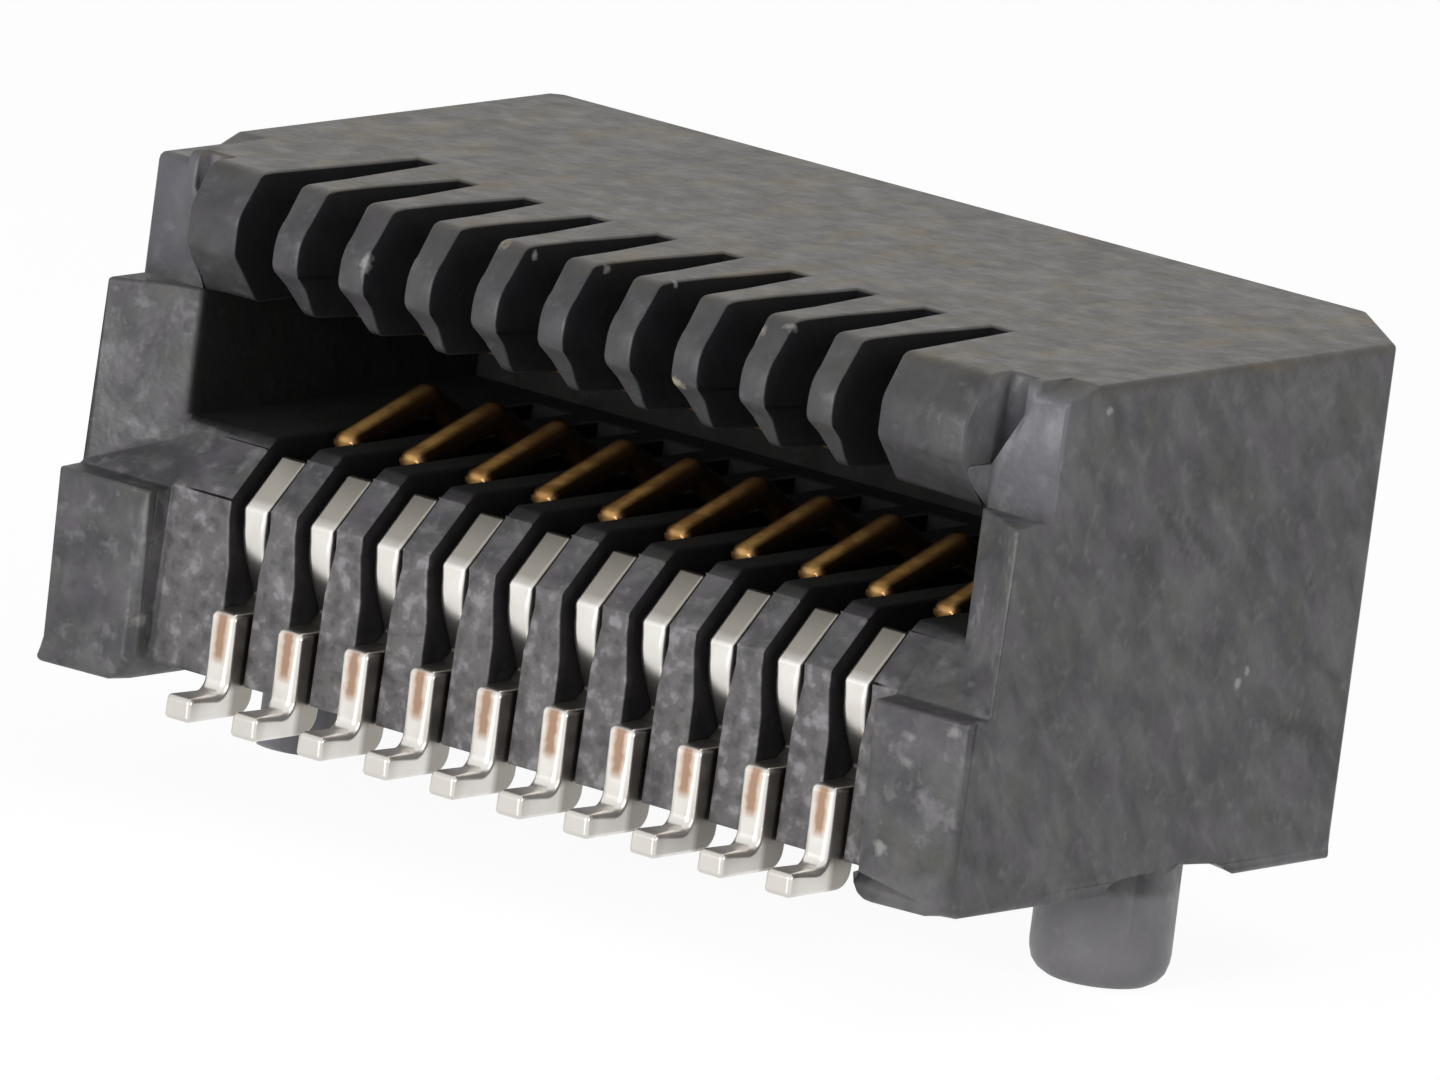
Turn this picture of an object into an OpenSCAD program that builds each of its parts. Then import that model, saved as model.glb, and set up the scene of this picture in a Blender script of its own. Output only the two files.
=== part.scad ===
// Right-angle surface-mount edge-card receptacle: one moulded housing, a lower and an
// upper row of blanked spring contacts, and two locating pegs moulded under the housing.
// +X runs across the card slot, the slot opens towards -Y, +Z is up and z = 0 is the board.
// The origin is midway between the two pegs. Inside each module y is the depth behind the
// front blocks; the whole is then moved back so that the pegs stand at y = 0.

/* [Housing] */
// Width across the side walls
body_w = 10.9; // [10.8:0.05:11.1]
// Depth from the front blocks to the rear wall
body_d = 7.2; // [7.1:0.05:7.4]
// Height of the top face above the board
body_h = 5.12; // [5.1:0.01:5.3]
// Gap between the side skirts and the board
skirt_z = 0.07; // [0.04:0.01:0.12]
// Gap between the middle of the housing and the board, where the solder feet pass
under_z = 0.29; // [0.26:0.01:0.4]
// Width of each front block and side skirt
block_w = 1.1; // [1.0:0.02:1.2]
// Depth of the lower comb's face behind the front blocks
comb_y = 0.35; // [0.32:0.01:0.44]
// Depth of the side walls' front edge behind the front blocks
wall_y = 0.34; // [0.3:0.02:0.4]
// Depth of the upper corner pillars behind the front blocks
pillar_y = 0.9; // [0.85:0.01:0.95]

/* [Card slot] */
// Width of the card slot
slot_w = 9.3; // [9.25:0.05:9.4]
// Height of the slot's floor above the board
slot_floor = 2.6; // [2.58:0.01:2.65]
// Height of the slot's ceiling above the board
slot_ceil = 3.83; // [3.8:0.01:3.86]
// Depth of the slot's back wall behind the front blocks
slot_back = 5.4; // [5.2:0.1:5.6]

/* [Contacts] */
// Contacts in each row
per_row = 10; // [10]
// Distance between neighbours in a row
pitch = 0.8; // [0.8]
// Sideways shift of the lower row to +X, and of the upper row to -X
row_shift = 0.2; // [0.2]
// Thickness of the sheet metal
blade_t = 0.3; // [0.25:0.01:0.32]
// Width of the housing's grooves around the free parts of the contacts
groove_w = 0.48; // [0.44:0.01:0.5]
// Width of the lower comb's grooves below the knees of the contacts
neck_w = 0.35; // [0.34:0.01:0.44]
// Width of the slits in the top face at their rear ends
slit_w = 0.36; // [0.3:0.01:0.42]

/* [Locating pegs] */
// Distance between the two pegs
peg_pitch = 9.6; // [9.6]
// Depth of the pegs behind the front blocks
peg_y = 3.56; // [3.5:0.01:3.6]
// Diameter of the pegs
peg_d = 1.36; // [1.3:0.02:1.4]
// Width of the diamond-shaped peg along X
diamond_w = 0.8; // [0.7:0.05:1.0]
// Reach of the pegs below the board's top face
peg_reach = 0.97; // [0.8:0.01:1.2]

/* [Hidden] */
$fn = 64;
hw = body_w / 2;
sw = slot_w / 2;
in_x = hw - block_w;
row_half = pitch * (per_row - 1) / 2;
// Heights at which the base bars of the two rows begin and end
low_bar = [0.7, 1.2];
up_bar = [4.2, 4.7];
// Depth at which the ramp rises from the ledges on top of the front blocks
ledge_y = 0.31;
// Heights between which the lower comb's grooves widen
neck_z = [1.4, 1.85];
// Depth at which the slits in the top face end, the first one longer than the rest
slit_end = 2.6;
first_slit_end = 3.0;
// Height of the peg bosses' lower faces, and radii of the boss and of the hollow around it
boss_z = 0.22;
boss_r = 1.0;
hollow_r = 1.33;
// Drop and width of the lowered corners of the top face, and the depths at which they end
corner_drop = 0.1;
corner_w = 0.36;
left_drop_end = 1.86;
right_drop_end = 1.15;
// Width and depth of the large chamfer on the rear right corner, and size of the left one
rear_cut = [1.06, 1.0];
rear_nick = 0.16;

// Height of the ramp behind the front blocks and the lower comb at depth y
function on_ramp(y) = 2.5 - 0.98 * (0.82 - y);
function low_x(i) = -row_half + row_shift + pitch * i;
function up_x(i) = -row_half - row_shift + pitch * i;
function unit(v) = v / norm(v);
function turned(v, a) = [v.x * cos(a) - v.y * sin(a), v.x * sin(a) + v.y * cos(a)];

// Points of an arc of radius r that rounds corner c between its neighbours a and b
function rounded(a, c, b, r, n = 4) =
    let (
        u = unit(a - c),
        v = unit(b - c),
        half = acos(u * v) / 2,
        centre = c + unit(u + v) * r / sin(half),
        from = c + u * r / tan(half) - centre,
        turn = -sign(cross(u, v)) * (180 - 2 * half)
    )
    r == 0 ? [c] : [for (k = [0 : n]) centre + turned(from, turn * k / n)];

// Closed outline through corners given as [across, up, radius]
function outline(c) =
    let (n = len(c), p = [for (q = c) [q.x, q.y]])
    [for (k = [0 : n - 1]) each rounded(p[(k + n - 1) % n], p[k], p[(k + 1) % n], c[k].z)];

// Extrudes a side outline of (depth, height) points from x0 to x1
module along_x(x0, x1) {
    translate([x0, 0, 0])
        rotate([90, 0, 90])
            linear_extrude(x1 - x0)
                children();
}

// Extrudes a front outline of (x, height) points from depth y0 to depth y1
module along_y(y0, y1) {
    translate([0, y1, 0])
        rotate([90, 0, 0])
            linear_extrude(y1 - y0)
                children();
}

// A box between two opposite corners
module box(a, b) {
    translate(a) cube(b - a);
}

module both_sides() {
    children();
    mirror([1, 0, 0]) children();
}

// Front block and side skirt, with a ledge and a ramp up to the slot floor
module side_block() {
    intersection() {
        along_x(in_x, hw)
            polygon(outline([
                [0, skirt_z, 0.06],
                [0, 1.99, 0.04],
                [ledge_y, on_ramp(ledge_y), 0.06],
                [0.82, 2.5, 0.1],
                [0.97, slot_floor, 0],
                [body_d, slot_floor, 0],
                [body_d, skirt_z, 0.2]
            ]));
        along_y(-1, body_d + 1)
            polygon(outline([
                [in_x, 3, 0],
                [in_x, skirt_z, 0.25],
                [hw, skirt_z, 0.06],
                [hw, 3, 0]
            ]));
    }
}

// Middle of the lower half: the comb's face and its ramp
module lower_middle() {
    along_x(-in_x - 0.01, in_x + 0.01)
        polygon(outline([
            [comb_y, under_z, 0.04],
            [comb_y, on_ramp(comb_y), 0.05],
            [0.82, 2.5, 0.1],
            [0.97, slot_floor, 0],
            [body_d, slot_floor, 0],
            [body_d, under_z, 0]
        ]));
}

// Wall beside the card slot, with the two-facet lead-in at its front
module side_wall() {
    translate([0, 0, 1.9])
        linear_extrude(slot_ceil - 1.9)
            polygon([
                [hw, wall_y],
                [hw - 0.43, 0.65],
                [sw, 0.86],
                [sw, body_d],
                [hw, body_d]
            ]);
}

// Rounded nose of the upper comb: front at depth y, top edge at y_top, lower edge at y_low
module nose(y, y_top, y_low, r) {
    polygon(outline([
        [y_top, body_h, 0],
        [y, body_h - 0.42, r],
        [y, body_h - 0.79, 0.16],
        [y_low, slot_ceil, 0],
        [2, slot_ceil, 0],
        [2, body_h, 0]
    ]));
}

// Upper half: the roof, the corner pillars and the uncut nose with its stepped-back ends
module upper_half() {
    box([-hw, pillar_y, slot_ceil], [hw, body_d, body_h]);
    along_x(-sw - 0.02, sw + 0.02) nose(0.44, 0.72, 0.88, 0.3);
    along_x(up_x(0), up_x(per_row - 1)) nose(0.38, 0.87, 0.98, 0.43);
}

// Block behind the card slot that carries the two rows' rear ends
module rear_block() {
    box([-hw, slot_back, 2], [hw, body_d, slot_ceil + 0.01]);
}

// Round pads that carry the pegs inside the skirts
module peg_boss() {
    intersection() {
        translate([peg_pitch / 2, peg_y, boss_z]) cylinder(h = 1, r = boss_r);
        box([0, 0, 0], [hw, body_d, 2]);
    }
}

// Groove of one lower contact, narrower below the knee
module lower_groove(x) {
    w = groove_w / 2;
    n = neck_w / 2;
    t = blade_t / 2;
    along_y(-1, 1.25)
        polygon([
            [x - n, -1], [x + n, -1], [x + n, neck_z[0]], [x + w, neck_z[1]],
            [x + w, slot_floor + 0.2], [x - w, slot_floor + 0.2], [x - w, neck_z[1]], [x - n, neck_z[0]]
        ]);
    box([x - t, 1.2, low_bar[0]], [x + t, 4.85, low_bar[1] + 0.01]);
    box([x - w, 1.2, low_bar[1]], [x + w, 5, slot_floor + 0.2]);
}

// Groove of one upper contact, with its tapering slit in the top face
module upper_groove(x, slit_to) {
    w = groove_w / 2;
    s = slit_w / 2;
    t = blade_t / 2;
    translate([x, 0, slot_ceil - 0.2])
        linear_extrude(body_h)
            polygon([[-w, -1], [w, -1], [w, pillar_y], [s, slit_to], [-s, slit_to], [-w, pillar_y]]);
    box([x - w, pillar_y, slot_ceil - 0.2], [x + w, 5.25, body_h - 0.32]);
    box([x - t, 5.2, up_bar[0]], [x + t, 6.6, up_bar[1]]);
    box([x - t - 0.03, 6.5, -1], [x + t + 0.03, body_d + 1, up_bar[1]]);
}

// Lowered outer corner of the top face, with a sloping end at depth y_end
module corner_relief(y_end) {
    z = body_h - corner_drop;
    along_x(hw - corner_w, hw + 1)
        polygon([[0.5, z], [y_end, z], [y_end + 0.28, body_h], [y_end + 0.28, 6], [0.5, 6]]);
}

// Full-height cut outside the line from a to b on a rear corner
module rear_corner(a, b) {
    translate([0, 0, -1])
        linear_extrude(body_h + 2)
            polygon([a, b, [hw + 1, b.y], [hw + 1, body_d + 1], [a.x, body_d + 1]]);
}

// Peg with a straight root, a slight taper and a rounded end
module peg() {
    r = peg_d / 2;
    rotate_extrude()
        polygon(concat(
            [[0, -peg_reach]],
            rounded([0, -peg_reach], [r - 0.03, -peg_reach], [r, -0.65], 0.26),
            [[r, -0.65], [r, boss_z], [r - 0.1, boss_z], [r - 0.1, 0.75], [0, 0.75]]
        ));
}

// The same peg cut to a diamond that is narrow along X
module diamond_peg() {
    d = diamond_w / 2;
    intersection() {
        peg();
        translate([0, 0, -2])
            linear_extrude(4)
                polygon([
                    [d, 0.2], [0.1, 0.62], [-0.1, 0.62], [-d, 0.2],
                    [-d, -0.2], [-0.1, -0.62], [0.1, -0.62], [d, -0.2]
                ]);
    }
}

module housing_shell() {
    both_sides() side_block();
    lower_middle();
    both_sides() side_wall();
    upper_half();
    rear_block();
    both_sides() peg_boss();
}

module housing_cuts() {
    for (i = [0 : per_row - 1]) {
        lower_groove(low_x(i));
        upper_groove(up_x(i), i == 0 ? first_slit_end : slit_end);
    }
    // Recess beside each end of the upper comb
    both_sides()
        along_y(0, pillar_y + 0.16)
            polygon([[sw, 4.23], [sw + 0.3, 4.77], [sw + 0.3, 6], [sw, 6]]);
    corner_relief(right_drop_end);
    mirror([1, 0, 0]) corner_relief(left_drop_end);
    rear_corner([hw - rear_cut.x, body_d], [hw, body_d - rear_cut.y]);
    mirror([1, 0, 0]) rear_corner([hw - rear_nick, body_d], [hw, body_d - rear_nick]);
    // Hollow around each peg's root
    both_sides()
        translate([peg_pitch / 2, peg_y, skirt_z - 0.02])
            cylinder(h = boss_z - skirt_z + 0.02, r1 = hollow_r, r2 = boss_r);
}

// One moulded piece: shell, combs and pegs
module housing() {
    color("#3b3a3c")
        translate([0, -peg_y, 0]) {
            difference() {
                housing_shell();
                housing_cuts();
            }
            translate([peg_pitch / 2, peg_y, 0]) peg();
            translate([-peg_pitch / 2, peg_y, 0]) diamond_peg();
        }
}

// Lower contact: solder foot, sheared stub, front post, base bar and sprung arm
module lower_contact(i) {
    x = low_x(i);
    color("#d9c9a0")
        translate([0, -peg_y, 0])
            along_x(x - blade_t / 2, x + blade_t / 2)
                polygon(outline([
                    // underside of the foot and of the base bar
                    [-0.42, 0, 0.05], [0.56, 0, 0.2], [0.56, 0.42, 0.1], [0.9, low_bar[0], 0.1],
                    // back and underside of the sprung arm, with its crest and its tip
                    [4.75, low_bar[0], 0.08], [4.75, 2.02, 0.55], [2.95, 3.02, 0.22],
                    [1.7, 2.62, 0.05], [1.66, 2.42, 0.04], [2.92, 2.77, 0.2],
                    [4.42, 1.92, 0.35], [4.42, low_bar[1], 0.12],
                    // top of the base bar and back of the front post
                    [1.1, low_bar[1], 0.1], [0.98, 2.0, 0.3], [1.06, 2.42, 0.05], [0.93, 2.44, 0.04],
                    // ramp, knee and neck of the post
                    [0.42, 1.99, 0.05], [0.43, 1.62, 0.8], [0.74, 1.12, 0.05], [0.62, 1.01, 0.03],
                    // sheared stub and top of the foot
                    [0.12, 1.01, 0.04], [0.12, 0.24, 0.1], [-0.42, 0.24, 0.04]
                ]));
}

// Upper contact: sprung arm, retention bar, riser behind the housing and solder foot
module upper_contact(i) {
    x = up_x(i);
    color("#d9c9a0")
        translate([0, -peg_y, 0])
            along_x(x - blade_t / 2, x + blade_t / 2)
                polygon(outline([
                    // underside of the foot, front of the riser, underside of the retention bar
                    [8.0, 0, 0.05], [6.62, 0, 0.2], [6.62, up_bar[0], 0],
                    // sprung arm with its crest and its tip
                    [4.95, up_bar[0], 0.3], [2.95, 3.41, 0.22], [1.7, 3.81, 0.05],
                    [1.66, 4.01, 0.04], [2.92, 3.66, 0.2], [4.85, 4.5, 0.3],
                    // top of the bar, back of the riser and top of the foot
                    [5.2, up_bar[1], 0.05], [7.04, up_bar[1], 0.15], [7.04, 0.24, 0.1],
                    [8.0, 0.24, 0.04]
                ]));
}

housing();
lower_contact(0);  // lower_contact_01
lower_contact(1);  // lower_contact_02
lower_contact(2);  // lower_contact_03
lower_contact(3);  // lower_contact_04
lower_contact(4);  // lower_contact_05
lower_contact(5);  // lower_contact_06
lower_contact(6);  // lower_contact_07
lower_contact(7);  // lower_contact_08
lower_contact(8);  // lower_contact_09
lower_contact(9);  // lower_contact_10
upper_contact(0);  // upper_contact_01
upper_contact(1);  // upper_contact_02
upper_contact(2);  // upper_contact_03
upper_contact(3);  // upper_contact_04
upper_contact(4);  // upper_contact_05
upper_contact(5);  // upper_contact_06
upper_contact(6);  // upper_contact_07
upper_contact(7);  // upper_contact_08
upper_contact(8);  // upper_contact_09
upper_contact(9);  // upper_contact_10
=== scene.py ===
"""Looks of a right-angle edge-card receptacle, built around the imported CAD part.

Blender's lengths are in metres. The object's own sizes are given in millimetres, and MM turns
them into metres. The slot opens towards -Y and the board's top face is z = 0.
"""
import math

import bmesh
import bpy
from mathutils import Matrix, Vector


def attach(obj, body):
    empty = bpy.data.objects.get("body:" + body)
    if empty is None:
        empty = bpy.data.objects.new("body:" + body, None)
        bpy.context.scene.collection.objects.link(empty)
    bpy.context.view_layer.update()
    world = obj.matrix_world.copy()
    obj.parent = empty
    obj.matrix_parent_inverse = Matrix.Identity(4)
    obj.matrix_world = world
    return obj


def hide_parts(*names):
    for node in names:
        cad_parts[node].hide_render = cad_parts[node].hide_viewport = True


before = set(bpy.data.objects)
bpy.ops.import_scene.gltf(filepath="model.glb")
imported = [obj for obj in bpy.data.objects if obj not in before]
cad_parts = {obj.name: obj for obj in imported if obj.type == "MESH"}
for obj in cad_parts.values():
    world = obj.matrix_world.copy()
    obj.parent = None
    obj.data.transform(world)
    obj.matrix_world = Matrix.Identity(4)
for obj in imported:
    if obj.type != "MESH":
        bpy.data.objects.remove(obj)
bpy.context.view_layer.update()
scene = bpy.context.scene
MM = 0.001

# Camera
# A long lens from the front right and a little above, rolled to the left. Its angles, in radians,
# its distance and its target come from the fit to the photograph.
azimuth = 0.6192
elevation = 0.2049
roll = 0.1310
distance = 240.576 * MM
target = Vector((2.3368, -3.56, 3.0538)) * MM

back = Vector((
    math.sin(azimuth) * math.cos(elevation),
    -math.cos(azimuth) * math.cos(elevation),
    math.sin(elevation),
))
level_right = Vector((math.cos(azimuth), math.sin(azimuth), 0))
level_up = level_right.cross(-back)
right = math.cos(roll) * level_right + math.sin(roll) * level_up
up = math.cos(roll) * level_up - math.sin(roll) * level_right
camera_data = bpy.data.cameras.new("camera")
camera_data.sensor_width = 36
camera_data.lens = 641.19
camera_data.clip_start = 0.01
camera_data.clip_end = 5
camera = bpy.data.objects.new("camera", camera_data)
camera.matrix_world = Matrix.Translation(target + distance * back) @ Matrix((
    (right.x, up.x, back.x, 0),
    (right.y, up.y, back.y, 0),
    (right.z, up.z, back.z, 0),
    (0, 0, 0, 1),
))
scene.collection.objects.link(camera)
scene.camera = camera

# Housing
# One piece moulded in dark grey glass-filled resin: blocks, combs, card slot, roof and pegs.
# The tool leaves every outer edge slightly rounded, and the fibres leave a cloudy, flecked skin.
# faces of the side skirts and front blocks, of the lower comb and of the card slot
side_x = 5.45
front_y = -3.56
skirt_z = 0.07
block_x = 4.35
comb_y = -3.21
slot_x = 4.65
slot_floor = 2.6
slot_ceiling = 3.83
# the lower row of contacts is shifted to the right, and the upper row to the left
pitch = 0.8
row_shift = 0.2


def set_inputs(node, **values):
    """Sets sockets of a shader node by name, with underscores for spaces."""
    for name, value in values.items():
        node.inputs[name.replace("_", " ")].default_value = value


def add_mapping(tree, coords, kind, **values):
    """Coordinates that are moved, turned or stretched."""
    node = tree.nodes.new("ShaderNodeMapping")
    node.vector_type = kind
    set_inputs(node, **values)
    tree.links.new(coords, node.inputs["Vector"])
    return node.outputs[0]


def split_vector(tree, vector):
    """X, Y and Z of a vector."""
    node = tree.nodes.new("ShaderNodeSeparateXYZ")
    tree.links.new(vector, node.inputs[0])
    return node.outputs


def add_noise(tree, coords, scale, detail, roughness=0.55, distortion=0.0):
    """Noise on the object's own coordinates, its scale in cells to the metre."""
    node = tree.nodes.new("ShaderNodeTexNoise")
    set_inputs(node, Scale=scale, Detail=detail, Roughness=roughness, Distortion=distortion)
    tree.links.new(coords, node.inputs["Vector"])
    return node.outputs["Fac"]


def add_range(tree, value, low, high, to_low=0.0, to_high=1.0):
    """Maps value from low..high to another range, clamped."""
    node = tree.nodes.new("ShaderNodeMapRange")
    set_inputs(node, From_Min=low, From_Max=high, To_Min=to_low, To_Max=to_high)
    tree.links.new(value, node.inputs["Value"])
    return node.outputs["Result"]


def add_math(tree, operation, first, *others):
    """One value alone, or several in turn, taken through a math operation."""
    result = first
    for other in others or (None,):
        node = tree.nodes.new("ShaderNodeMath")
        node.operation = operation
        for socket, value in zip(node.inputs, (result, other)):
            if isinstance(value, (int, float)):
                socket.default_value = value
            elif value is not None:
                tree.links.new(value, socket)
        result = node.outputs[0]
    return result


def add_mix(tree, factor, a, b):
    """Mixes two colours, each a socket or an (r, g, b)."""
    node = tree.nodes.new("ShaderNodeMix")
    node.data_type = "RGBA"
    for socket, value in ((node.inputs["Factor"], factor), (node.inputs[6], a), (node.inputs[7], b)):
        if isinstance(value, tuple):
            socket.default_value = (*value, 1)
        else:
            tree.links.new(value, socket)
    return node.outputs[2]


def add_fade(tree, coordinate, none, full):
    """Mask along a coordinate, 0 at one place and 1 at the other, both in millimetres."""
    return add_range(tree, coordinate, none * MM, full * MM)


def add_zone(tree, *fades):
    """Mask of the zone where several fades overlap."""
    return add_math(tree, "MULTIPLY", *(add_fade(tree, *fade) for fade in fades))


def lay_colour(tree, tone, mask, strength, colour):
    """Lays a colour over the tone where the mask holds."""
    return add_mix(tree, add_math(tree, "MULTIPLY", mask, strength), tone, colour)


resin = bpy.data.materials.new("housing_resin")
resin.use_nodes = True
tree = resin.node_tree
shader = tree.nodes["Principled BSDF"]
position = tree.nodes.new("ShaderNodeTexCoord")
coords = position.outputs["Object"]
x, y, z = split_vector(tree, coords)
from_middle = add_math(tree, "ABSOLUTE", x)
facing_x, facing_y, facing_z = split_vector(tree, position.outputs["Normal"])
on_front = add_range(tree, facing_y, -0.2, -0.8)
on_flank = add_range(tree, add_math(tree, "ABSOLUTE", facing_x), 0.5, 0.8)

# cloudy skin, with streaks that run down towards the rear on the side faces
flow = add_mapping(
    tree, coords, "TEXTURE", Rotation=(math.radians(-48), 0, math.radians(14)), Scale=(1.0, 2.4, 0.9))
clouds = add_noise(tree, coords, 1100, detail=5, roughness=0.62)
patches = add_noise(tree, coords, 420, detail=2)
streaks = add_noise(tree, flow, 3300, detail=3, distortion=0.3)
grain = add_noise(tree, coords, 12000, detail=2)
hue = add_noise(tree, coords, 2100, detail=2)
tone = add_mix(tree, add_range(tree, clouds, 0.36, 0.64), (0.046, 0.044, 0.049), (0.120, 0.116, 0.120))
for noise, none, full, strength, colour in [
    (patches, 0.40, 0.62, 0.35, (0.052, 0.050, 0.055)),
    # pale streaks and dark ones
    (streaks, 0.48, 0.70, 0.60, (0.175, 0.169, 0.173)),
    (streaks, 0.46, 0.30, 0.65, (0.030, 0.028, 0.033)),
    # faint patches of violet and of olive
    (hue, 0.54, 0.68, 0.45, (0.106, 0.088, 0.114)),
    (hue, 0.46, 0.32, 0.45, (0.094, 0.095, 0.074)),
]:
    tone = lay_colour(tree, tone, add_range(tree, noise, none, full), strength, colour)
# small pale specks of open fibre ends, denser on the front faces
specks = add_noise(tree, coords, 5200, detail=2, roughness=0.6)
open_ends = add_range(tree, specks, 0.58, 0.74)
density = add_range(tree, on_front, 0, 1, 0.3, 0.5)
tone = add_mix(tree, add_math(tree, "MULTIPLY", open_ends, density), tone, (0.28, 0.27, 0.28))

# where each part of the moulding lies
before_rear = add_fade(tree, y, 2.6, 2.5)
on_top = add_fade(tree, z, 4.98, 5.08)
on_peg = add_fade(tree, z, 0.04, -0.05)
on_teeth = add_zone(
    tree, (from_middle, block_x + 0.01, block_x - 0.03), (z, 2.45, 2.2), (y, comb_y + 0.11, comb_y + 0.01))
pillar = add_zone(
    tree, (z, slot_ceiling + 0.02, slot_ceiling + 0.12), (from_middle, slot_x + 0.03, slot_x + 0.11))
on_pillar = add_math(tree, "MULTIPLY", on_front, pillar)
upper_comb = add_zone(
    tree, (z, slot_ceiling - 0.03, slot_ceiling + 0.01), (from_middle, slot_x + 0.07, slot_x + 0.03))
on_nose = add_math(tree, "MULTIPLY", add_range(tree, facing_y, -0.2, -0.5), upper_comb)
recess = add_zone(
    tree, (x, slot_x - 0.05, slot_x + 0.01), (y, -2.3, -2.4), (z, slot_ceiling + 0.07, slot_ceiling + 0.17))
# flanks of the upper comb and of its slits
from_ribs_middle = add_math(tree, "ABSOLUTE", add_math(tree, "ADD", x, row_shift * MM))
in_ribs = add_zone(tree, (z, slot_ceiling - 0.03, slot_ceiling + 0.03), (from_ribs_middle, 3.9, 3.86))
turned_away = add_math(
    tree, "MAXIMUM", add_range(tree, facing_y, -0.4, -0.15), on_flank, add_fade(tree, y, -2.5, -2.3))
not_upwards = add_range(tree, facing_z, 0.8, 0.4)
rib_flank = add_math(tree, "MULTIPLY", before_rear, in_ribs, turned_away, not_upwards)
# walls of the card slot, behind the mouth and in the grooves of the lower comb
between_walls = add_zone(
    tree, (z, slot_ceiling + 0.07, slot_ceiling + 0.01), (from_middle, slot_x + 0.05, slot_x + 0.01))
behind_mouth = add_zone(tree, (z, slot_floor - 0.04, slot_floor + 0.02), (y, comb_y + 0.02, comb_y + 0.09))
in_grooves = add_zone(tree, (z, 0.8, 1.0), (y, -2.75, -2.6))
slot_walls = add_math(tree, "MAXIMUM", behind_mouth, in_grooves)
in_slot = add_math(tree, "MULTIPLY", before_rear, between_walls, slot_walls)
# flanks of the lower comb's teeth
lower_comb = add_zone(tree, (z, 0.5, 1.1), (z, 2.95, 2.85), (from_middle, 4.2, 4.1))
tooth_flank = add_math(tree, "MULTIPLY", before_rear, on_flank, lower_comb)

mottle = add_noise(tree, add_mapping(tree, coords, "POINT", Scale=(1.0, 0.35, 1.0)), 3000, detail=3)
lumps = add_noise(tree, coords, 6000, detail=2)
top_brown = add_math(tree, "MULTIPLY", on_top, add_range(tree, mottle, 0.50, 0.66))
top_dark = add_math(tree, "MULTIPLY", on_top, add_range(tree, mottle, 0.48, 0.34))
tooth_pale = add_math(tree, "MULTIPLY", on_teeth, add_range(tree, lumps, 0.53, 0.68))
tooth_dark = add_math(tree, "MULTIPLY", on_teeth, add_range(tree, lumps, 0.47, 0.32))
for mask, strength, colour in [
    # the top face is browner than the sides
    (on_top, 0.6, (0.080, 0.070, 0.048)),
    (top_brown, 0.75, (0.14, 0.108, 0.056)),
    (top_dark, 0.6, (0.052, 0.050, 0.046)),
    # painted light: the pegs and the thin teeth of the lower comb are painted paler, as if lit from below
    # and in front
    (on_peg, 0.6, (0.28, 0.27, 0.29)),
    (on_teeth, 0.45, (0.20, 0.19, 0.19)),
    (tooth_pale, 0.7, (0.36, 0.35, 0.37)),
    (tooth_dark, 0.7, (0.05, 0.048, 0.052)),
    # painted light and shade: the corner pillars are painted paler and bluer against the shade beside them,
    # the noses of the upper comb darker as shade
    (on_pillar, 0.45, (0.16, 0.16, 0.19)),
    (on_nose, 0.55, (0.030, 0.030, 0.033)),
    # painted shade: narrow grooves and the card slot take little light and are painted nearly black
    (rib_flank, 0.9, (0.004, 0.004, 0.006)),
    (in_slot, 0.9, (0.011, 0.011, 0.010)),
    (tooth_flank, 0.85, (0.012, 0.010, 0.012)),
    # painted light: the recess beside the right pillar is painted a little paler, against its shade
    (recess, 0.2, (0.22, 0.22, 0.235)),
]:
    tone = lay_colour(tree, tone, mask, strength, colour)


def add_mark(tree, tone, centre, half, turn, colour, strength):
    """A chip or scratch in the skin: an uneven ellipsoid of half sizes in millimetres, turned in degrees."""
    spot = add_mapping(
        tree, coords, "TEXTURE", Location=Vector(centre) * MM,
        Rotation=[math.radians(angle) for angle in turn], Scale=Vector(half) * MM)
    length = tree.nodes.new("ShaderNodeVectorMath")
    length.operation = "LENGTH"
    tree.links.new(spot, length.inputs[0])
    uneven = add_math(tree, "ADD", length.outputs["Value"], add_math(tree, "MULTIPLY", grain, 2.0))
    return add_mix(tree, add_range(tree, uneven, 2.1, 1.3, 0, strength), tone, colour)


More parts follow.
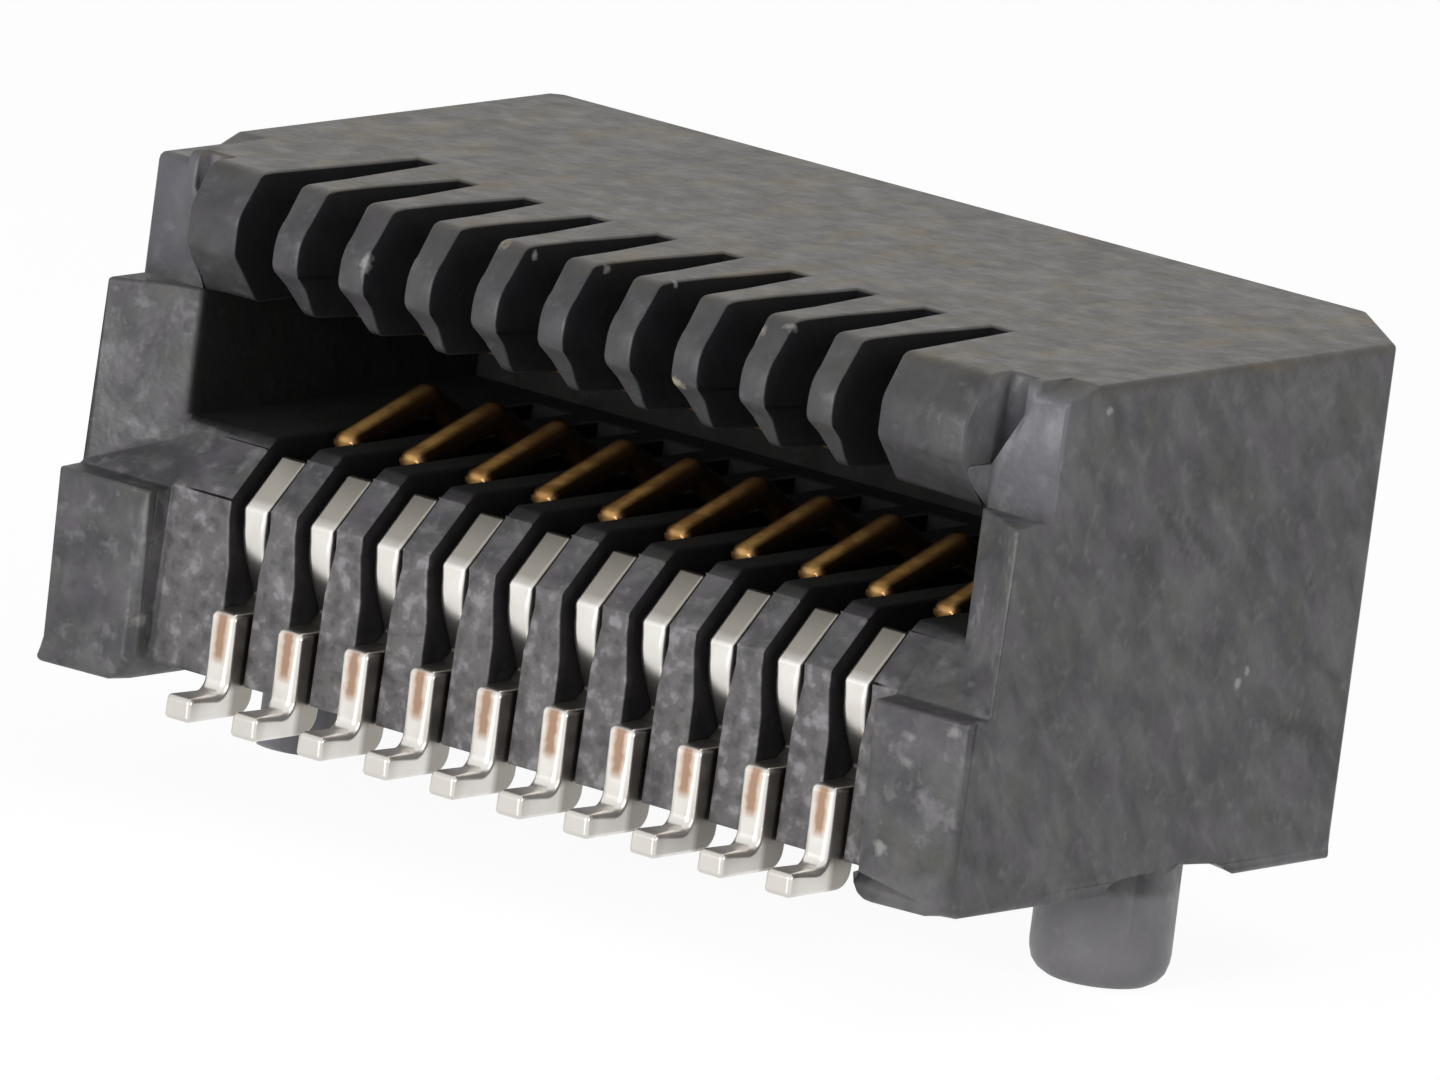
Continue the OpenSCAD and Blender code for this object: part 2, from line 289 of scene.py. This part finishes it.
pale, yellow, dark = (0.45, 0.44, 0.43), (0.48, 0.43, 0.30), (0.024, 0.022, 0.022)
for mark in [
    # chips on the right side and scratches across it
    ((side_x, -1.99, 4.87), (0.1, 0.06, 0.05), (0, 0, 0), pale, 0.9),
    ((side_x, 0.74, 1.98), (0.1, 0.08, 0.05), (35, 0, 0), pale, 0.9),
    ((side_x, 0.86, 2.09), (0.1, 0.04, 0.05), (0, 0, 0), pale, 0.7),
    ((side_x, -0.62, 3.60), (0.16, 0.58, 0.11), (-45, 0, 0), dark, 0.8),
    ((side_x, -0.12, 3.42), (0.16, 0.62, 0.11), (-38, 0, 0), dark, 0.8),
    ((side_x, -0.95, 3.22), (0.16, 0.50, 0.10), (-50, 0, 0), dark, 0.7),
    ((side_x, 1.85, 1.44), (0.16, 0.60, 0.12), (-14, 0, 0), dark, 0.9),
    # scuffs on the front blocks, most of them on the right one
    ((5.12, front_y, 1.10), (0.26, 0.1, 0.15), (0, 50, 0), (0.24, 0.23, 0.25), 0.6),
    ((4.62, front_y, 0.61), (0.09, 0.1, 0.08), (0, 20, 0), pale, 0.6),
    ((4.81, front_y, 1.48), (0.12, 0.1, 0.05), (0, 0, 0), pale, 0.4),
    ((4.78, front_y, 1.72), (0.10, 0.1, 0.05), (0, 0, 0), pale, 0.4),
    ((5.28, front_y, 1.88), (0.09, 0.1, 0.06), (0, 0, 0), pale, 0.5),
    ((-4.36, -3.42, 0.70), (0.1, 0.10, 0.08), (0, 0, 0), pale, 0.5),
    # nicks along the ribs' edges
    ((-1.13, -2.78, 5.04), (0.09, 0.10, 0.09), (0, 0, 0), yellow, 0.9),
    ((-0.85, -2.70, 5.02), (0.06, 0.06, 0.05), (0, 0, 0), pale, 0.9),
    ((-0.05, -2.62, 5.06), (0.06, 0.07, 0.05), (0, 0, 0), pale, 0.7),
    ((0.76, -2.60, 5.10), (0.11, 0.04, 0.05), (0, 0, 0), pale, 0.8),
    ((2.03, -2.93, 4.95), (0.07, 0.14, 0.12), (0, 0, 0), (0.46, 0.43, 0.34), 0.9),
    ((-2.47, -3.16, 4.62), (0.05, 0.10, 0.12), (0, 0, 0), pale, 0.6),
    ((2.32, -2.84, 5.03), (0.07, 0.07, 0.05), (0, 0, 0), pale, 0.7),
    ((1.30, -3.13, 4.30), (0.08, 0.08, 0.09), (0, 0, 0), yellow, 0.9),
]:
    tone = add_mark(tree, tone, *mark)
tree.links.new(tone, shader.inputs["Base Color"])
# painted shade: in the same grooves and slot the reflections are dimmed, and the surface is made rougher
unlit = add_math(tree, "MAXIMUM", in_slot, rib_flank, tooth_flank)
highlight = add_mix(tree, unlit, (1.0, 1.0, 1.0), (0.35, 0.35, 0.35))
tree.links.new(highlight, shader.inputs["Specular Tint"])
bump = tree.nodes.new("ShaderNodeBump")
set_inputs(bump, Strength=0.5, Distance=0.02 * MM)
fine_relief = add_math(
    tree, "ADD", add_math(tree, "MULTIPLY", streaks, 0.5), add_math(tree, "MULTIPLY", grain, 0.5))
tree.links.new(add_math(tree, "ADD", fine_relief, specks), bump.inputs["Height"])
tree.links.new(bump.outputs["Normal"], shader.inputs["Normal"])
rough = add_range(tree, streaks, 0.3, 0.7, 0.55, 0.42)
rough = add_math(tree, "MAXIMUM", rough, add_math(tree, "MULTIPLY", unlit, 0.95))
tree.links.new(rough, shader.inputs["Roughness"])
set_inputs(shader, IOR=1.5)

moulding = bmesh.new()
moulding.from_mesh(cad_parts["housing"].data)
bmesh.ops.scale(moulding, vec=(1 / MM,) * 3, verts=moulding.verts)
bmesh.ops.remove_doubles(moulding, verts=moulding.verts, dist=1e-3)
bmesh.ops.dissolve_limit(
    moulding, angle_limit=math.radians(1), verts=moulding.verts, edges=moulding.edges)


def cut_faces(faces, point, normal):
    """Cuts some faces of the moulding in two along a plane."""
    parts = {item for face in faces for item in (face, *face.edges, *face.verts)}
    bmesh.ops.bisect_plane(moulding, geom=list(parts), plane_co=point, plane_no=normal, dist=1e-4)


# the ribs of the upper comb narrow towards the lower ends of their noses
ribs_half = 3.5
nose_y = -2.1
nose_run = 0.4
taper_top = 4.36
taper_most = 0.7
taper_curve = 1.4
nose_cuts = [((0, 0, height), (0, 0, 1)) for height in (3.95, 4.08, 4.22)] + [((0, nose_y, 0), (0, 1, 0))]
for point, normal in nose_cuts:
    ribs = [
        face for face in moulding.faces
        if all(abs(v.co.x + row_shift) < ribs_half and v.co.y < 2 and v.co.z > 3.7 for v in face.verts)]
    cut_faces(ribs, point, normal)
for vert in moulding.verts:
    beside = vert.co.x + row_shift
    if abs(beside) < ribs_half and vert.co.y < nose_y - 0.05 and 3.8 < vert.co.z < 4.25:
        middle = round(beside / pitch) * pitch - row_shift
        low = (taper_top - vert.co.z) / (taper_top - slot_ceiling)
        taper = taper_most * low ** taper_curve * min(1, (nose_y - vert.co.y) / nose_run)
        vert.co.x = middle + (vert.co.x - middle) * (1 - taper)
# the slits in the top face, half a pitch beside the ribs, close towards their rear ends
slit_half = 0.2
slit_closing = 0.65
for vert in moulding.verts:
    beside = vert.co.x + row_shift
    if vert.co.z > 4.7 and -2.5 < vert.co.y < 0.5 and abs(beside) < 4:
        middle = (round(beside / pitch + 0.5) - 0.5) * pitch - row_shift
        if abs(vert.co.x - middle) < slit_half:
            vert.co.x = middle + (vert.co.x - middle) * slit_closing
# worn corners low down: (corner, the way inwards)
rear_y = max(v.co.y for v in moulding.verts if v.co.x > side_x - 0.01 and v.co.z < skirt_z + 0.03)
worn_corners = [
    (Vector((side_x, front_y, skirt_z)), Vector((-1, 1, 1))),
    (Vector((-block_x, front_y, skirt_z)), Vector((-1, 1, 1))),
    (Vector((side_x, rear_y, skirt_z)), Vector((-0.3, -1, 1))),
]
for corner, inwards in worn_corners:
    for axis in range(3):
        for depth in (0.13, 0.26):
            around = [
                face for face in moulding.faces
                if any((v.co - corner).length < 0.3 for v in face.verts)]
            cut_faces(around, corner + inwards * depth, Vector([float(k == axis) for k in range(3)]))
# the lowest edges and the rib noses are rounded most, the walls less, the combs least
body_round = 0.12
wall_round = 0.06
comb_round = 0.035
sharp_angle = math.radians(30)
weight = moulding.edges.layers.float.new("bevel_weight_edge")
for edge in moulding.edges:
    ends = [v.co for v in edge.verts]
    length = edge.calc_length()
    on_ribs = all(end.z > 3.82 and end.y < -2.3 for end in ends)
    if edge.is_convex and edge.calc_face_angle(0) > sharp_angle and length > (0.02 if on_ribs else 0.1):
        outer = length > 0.6 and all(abs(end.x) > 4.3 for end in ends)
        lowest = outer and all(end.y < -3.4 or end.z < 0.1 for end in ends)
        nose = on_ribs and ends[0].y < -2.5 and abs((ends[0] - ends[1]).x) > 0.9 * length
        edge_round = body_round if lowest or nose else wall_round if outer else comb_round
        edge[weight] = edge_round / body_round
mesh = bpy.data.meshes.new("moulding")
moulding.to_mesh(mesh)
moulding.free()
blank = bpy.data.objects.new("moulding", mesh)
scene.collection.objects.link(blank)
rounding = blank.modifiers.new("rounding", "BEVEL")
rounding.limit_method = "WEIGHT"
rounding.width = body_round
rounding.segments = 3
rounding.use_clamp_overlap = False
mesh = bpy.data.meshes.new_from_object(blank.evaluated_get(bpy.context.evaluated_depsgraph_get()))
bpy.data.objects.remove(blank)
mesh.name = "moulded_housing"
wear_reach = 0.36
wear_depth = 0.08
for vert in mesh.vertices:
    for corner, inwards in worn_corners:
        near = 1 - (vert.co - corner).length / wear_reach
        if near > 0:
            vert.co += inwards * wear_depth * near ** 1.5
mesh.transform(Matrix.Scale(MM, 4))
mesh.materials.clear()
mesh.materials.append(resin)
mesh.shade_smooth()
mesh.set_sharp_from_angle(angle=math.radians(50))
moulded_housing = bpy.data.objects.new("moulded_housing", mesh)
scene.collection.objects.link(moulded_housing)
flattening = moulded_housing.modifiers.new("flat_faces", "WEIGHTED_NORMAL")
flattening.keep_sharp = True
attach(moulded_housing, "root")
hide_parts("housing")

# Lower contacts
# Ten equal springs, blanked from strip and plated with tin, and with gold where the card touches.
# Each is pushed into its groove, and its foot is soldered to the board in front of the housing.
blade_t = 0.3
per_row = 10


def round_corner(before, corner, after, radius, steps=6):
    """Points and outward directions along one rounded corner, the outline going round to the left."""
    come = (corner - before).normalized()
    leave = (after - corner).normalized()
    turn = math.atan2(come.x * leave.y - come.y * leave.x, come.dot(leave))
    bend = math.copysign(1, turn)
    start = Vector((come.y, -come.x))
    centre = corner - come * radius * math.tan(abs(turn) / 2) - bend * radius * start
    arc = []
    for step in range(steps + 1):
        angle = turn * step / steps
        out = Matrix.Rotation(angle, 2) @ start
        arc.append((centre + bend * radius * out, out))
    return arc


def blank_spring(name, node, x, corners, metal, steps=4):
    """A blade cut to an outline of (depth, height, corner radius, edge radius), edges rounded."""
    around = []
    for k, (*_, radius, edge) in enumerate(corners):
        before, corner, after = (Vector(corners[j % len(corners)][:2]) for j in (k - 1, k, k + 1))
        edge = min(edge, 0.8 * radius)
        around += [(*point, edge) for point in round_corner(before, corner, after, radius)]
    bm = bmesh.new()
    blade_uv = bm.loops.layers.uv.new("across")
    rings, directions = [], []
    for side in (-1, 1):
        order = range(steps, -1, -1) if side < 0 else range(steps + 1)
        for step in order:
            lean = math.pi / 2 * step / steps
            ring, offsets = [], []
            for point, out, edge in around:
                inner = point - out * edge * (1 - math.cos(lean))
                offset = side * (blade_t / 2 - edge * (1 - math.sin(lean)))
                ring.append(bm.verts.new(Vector((x + offset, front_y + inner.x, inner.y)) * MM))
                offsets.append(offset)
                directions.append(Vector((side * math.sin(lean), *(out * math.cos(lean)))))
            rings.append((ring, offsets))
    count = len(around)
    for (one, one_x), (two, two_x) in zip(rings, rings[1:]):
        for k in range(count):
            n = (k + 1) % count
            face = bm.faces.new((one[k], two[k], two[n], one[n]))
            for loop, offset in zip(face.loops, (one_x[k], two_x[k], two_x[n], one_x[n])):
                loop[blade_uv].uv = (0.5 + offset / blade_t, k / count)
    for side, (ring, _) in ((0, rings[0]), (1, rings[-1])):
        face = bm.faces.new(ring if side else ring[::-1])
        for loop in face.loops:
            loop[blade_uv].uv = (side, 0)
    bmesh.ops.recalc_face_normals(bm, faces=bm.faces)
    mesh = bpy.data.meshes.new(name)
    bm.to_mesh(mesh)
    bm.free()
    mesh.shade_smooth()
    mesh.normals_split_custom_set_from_vertices(directions)
    mesh.materials.append(metal)
    spring = bpy.data.objects.new(name, mesh)
    scene.collection.objects.link(spring)
    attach(spring, "root")
    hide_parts(node)


plating = bpy.data.materials.new("tin_and_gold_plating")
plating.use_nodes = True
tree = plating.node_tree
shader = tree.nodes["Principled BSDF"]
coords = tree.nodes.new("ShaderNodeTexCoord").outputs["Object"]
x, y, z = split_vector(tree, coords)
blade_uv = tree.nodes.new("ShaderNodeUVMap")
blade_uv.uv_map = "across"
across = split_vector(tree, blade_uv.outputs[0])["X"]
wander = add_noise(tree, coords, 9000, detail=2)
cloud = add_noise(tree, coords, 2500, detail=3)


def add_distance(tree, value, middle):
    """How far a value lies from a middle, on either side."""
    return add_math(tree, "ABSOLUTE", add_math(tree, "SUBTRACT", value, middle))


tin = add_mix(tree, add_range(tree, cloud, 0.35, 0.7), (0.80, 0.775, 0.74), (0.70, 0.67, 0.62))
on_ramp = add_zone(tree, (z, 2.0, 2.08), (y, -2.4, -2.5))
on_sheared_side = add_range(tree, add_distance(tree, across, 0.5), 0.46, 0.5)
stub_zone = add_zone(tree, (y, -3.1, -3.2), (z, 0.26, 0.34))
stub_flank = add_math(tree, "MULTIPLY", on_sheared_side, stub_zone)
for mask, strength, colour in [
    # darker tin on the ramps above the knees, and dark flanks on the stubs
    (on_ramp, 0.8, (0.36, 0.33, 0.28)),
    (stub_flank, 0.75, (0.10, 0.08, 0.07)),
    # painted shade: the neck is painted darker where it lies in shade behind the stub; the toe is a little
    # darker
    (add_zone(tree, (z, 1.55, 1.12), (y, -3.4, -3.3)), 0.75, (0.20, 0.18, 0.15)),
    (add_fade(tree, y, -3.8, -3.9), 0.7, (0.60, 0.57, 0.53)),
]:
    tin = lay_colour(tree, tin, mask, strength, colour)
# sheared face of the stub: bare copper in the middle, smeared tin along its edges
ragged = add_math(
    tree, "ADD", add_distance(tree, across, 0.52), add_math(tree, "MULTIPLY", wander, 0.22))
on_stub = add_zone(tree, (z, 0.50, 0.60), (z, 1.02, 0.97), (y, -3.40, -3.42))
smeared = add_math(tree, "MULTIPLY", on_stub, add_range(tree, ragged, 0.44, 0.34))
bare = add_math(tree, "MULTIPLY", on_stub, add_range(tree, ragged, 0.33, 0.22))
colour = add_mix(tree, smeared, tin, (0.68, 0.55, 0.46))
colour = add_mix(tree, bare, colour, (0.40, 0.26, 0.18))
# blotchy gold on the sprung arms, which lie further in than the front posts
gilt = add_zone(tree, (y, -2.2, -2.0), (y, 1.8, 1.6), (z, 1.6, 1.9))
blotches = add_range(tree, add_noise(tree, coords, 4200, detail=2), 0.42, 0.60)
gold = lay_colour(tree, (1.0, 0.60, 0.20), blotches, 0.65, (0.42, 0.19, 0.06))
# away from the crown the arms turn nearly black: gold plating on the crown only, and painted shade on the
# flanks in the slot
off_crown = add_range(tree, add_distance(tree, across, 0.56), 0.10, 0.32)
gold = add_mix(tree, off_crown, gold, (0.030, 0.016, 0.008))
# painted shade: the arms are painted darker further into the slot
gold = lay_colour(tree, gold, add_fade(tree, y, -1.6, -0.7), 0.85, (0.07, 0.035, 0.014))
# painted shade: the front of each arm's tip is painted darker, to tone down the white reflection on it
gold = lay_colour(tree, gold, add_fade(tree, y, -1.78, -1.86), 0.5, (0.30, 0.15, 0.05))
tree.links.new(add_mix(tree, gilt, colour, gold), shader.inputs["Base Color"])
tree.links.new(add_range(tree, gilt, 0, 1, 1, 0.5), shader.inputs["Metallic"])
set_inputs(shader, Roughness=0.32)

lower_blank = [
    # underside of the foot, heel and underside of the base bar
    (-0.42, 0, 0.05, 0.05), (0.56, 0, 0.2, 0.04), (0.56, 0.42, 0.1, 0.03), (0.9, 0.7, 0.1, 0.03),
    # back and underside of the sprung arm, crest and tip
    (4.75, 0.7, 0.08, 0.03), (4.75, 2.02, 0.55, 0.05), (2.95, 3.02, 0.22, 0.12),
    (1.7, 2.62, 0.12, 0.12), (1.66, 2.42, 0.08, 0.07), (2.92, 2.77, 0.2, 0.05),
    (4.42, 1.92, 0.35, 0.05), (4.42, 1.2, 0.12, 0.03),
    # top of the base bar and back of the front post
    (1.1, 1.2, 0.1, 0.03), (0.98, 2.0, 0.3, 0.03), (1.06, 2.42, 0.05, 0.03), (0.93, 2.44, 0.04, 0.03),
    # ramp, knee and neck
    (0.42, 1.99, 0.06, 0.05), (0.43, 1.62, 0.8, 0.07), (0.74, 1.12, 0.05, 0.04), (0.62, 1.01, 0.03, 0.03),
    # sheared stub and top of the foot
    (0.12, 1.01, 0.07, 0.055), (0.12, 0.24, 0.12, 0.08), (-0.42, 0.24, 0.06, 0.05),
]
for i in range(per_row):
    x = row_shift + pitch * (i - (per_row - 1) / 2)
    blank_spring(f"lower_spring_{i + 1:02d}", f"lower_contact_{i + 1:02d}", x, lower_blank, plating)

# Upper contacts
# Ten more springs of the same strip, hung in the upper comb. Their bars are held in the roof, and
# the risers come down behind the housing to a row of solder feet.
upper_blank = [
    # end and top of the foot, back of the riser and top of the bar
    (8.0, 0, 0.05, 0.04), (8.0, 0.24, 0.04, 0.04), (7.04, 0.24, 0.1, 0.05), (7.04, 4.7, 0.15, 0.04),
    (5.2, 4.7, 0.05, 0.03),
    # top of the sprung arm, tip, crest and underside of the arm
    (4.85, 4.5, 0.3, 0.05), (2.92, 3.66, 0.2, 0.05), (1.66, 4.01, 0.04, 0.04), (1.7, 3.81, 0.05, 0.05),
    (2.95, 3.41, 0.22, 0.09), (4.95, 4.2, 0.3, 0.05),
    # underside of the bar, front of the riser and underside of the foot
    (6.62, 4.2, 0.02, 0.02), (6.62, 0, 0.2, 0.04),
]
for i in range(per_row):
    x = -row_shift + pitch * (i - (per_row - 1) / 2)
    blank_spring(f"upper_spring_{i + 1:02d}", f"upper_contact_{i + 1:02d}", x, upper_blank, plating)

# Floor
# A sheet of white paper, which the pegs stand on.
# It stays white to the camera and in reflections, and keeps a soft shadow.
floor_z = -0.985
paper = bpy.data.materials.new("white_paper")
paper.use_nodes = True
tree = paper.node_tree
shader = tree.nodes["Principled BSDF"]


def add_sight(tree):
    """Mask of the rays that show a surface to the camera: straight, mirrored or through glass."""
    path = tree.nodes.new("ShaderNodeLightPath")
    kinds = ("Is Camera Ray", "Is Glossy Ray", "Is Transmission Ray")
    return add_math(tree, "MAXIMUM", *(path.outputs[kind] for kind in kinds))


seen = add_sight(tree)
tree.links.new(add_mix(tree, seen, (0.8, 0.8, 0.8), (0.2, 0.2, 0.2)), shader.inputs["Base Color"])
tree.links.new(add_range(tree, seen, 0, 1, 0, 0.93), shader.inputs["Emission Strength"])
set_inputs(shader, Roughness=0.9, Emission_Color=(1, 1, 1, 1), Specular_IOR_Level=0.0)
sheet = bmesh.new()
bmesh.ops.create_grid(sheet, x_segments=8, y_segments=8, size=0.3)
bmesh.ops.translate(sheet, vec=(0, 0, floor_z * MM), verts=sheet.verts)
mesh = bpy.data.meshes.new("floor")
sheet.to_mesh(mesh)
sheet.free()
mesh.materials.append(paper)
floor = bpy.data.objects.new("floor", mesh)
scene.collection.objects.link(floor)

# Studio
# White surroundings that light the object weakly from all sides, and three soft square lamps:
# the strongest in front, one to the right and a weak one above.
world = bpy.data.worlds.new("studio")
scene.world = world
world.use_nodes = True
air = world.node_tree
background = air.nodes["Background"]
background.inputs["Color"].default_value = (1, 1, 1, 1)
air.links.new(add_range(air, add_sight(air), 0, 1, 0.15, 1.0), background.inputs["Strength"])


def add_lamp(name, place, size, power):
    """Soft square lamp aimed at the object's middle; place and size in millimetres."""
    data = bpy.data.lights.new(name, "AREA")
    data.size = size * MM
    data.energy = power
    lamp = bpy.data.objects.new(name, data)
    stand = Vector(place) * MM
    aim = (Vector((0, 0, 2.5 * MM)) - stand).to_track_quat("-Z", "Y")
    lamp.matrix_world = Matrix.Translation(stand) @ aim.to_matrix().to_4x4()
    scene.collection.objects.link(lamp)


add_lamp("front_lamp", (0, -85, 8), 40, 0.056)
add_lamp("top_lamp", (20, 30, 90), 60, 0.007)
add_lamp("side_lamp", (90, -10, 20), 40, 0.0185)

scene.view_settings.view_transform = "Standard"
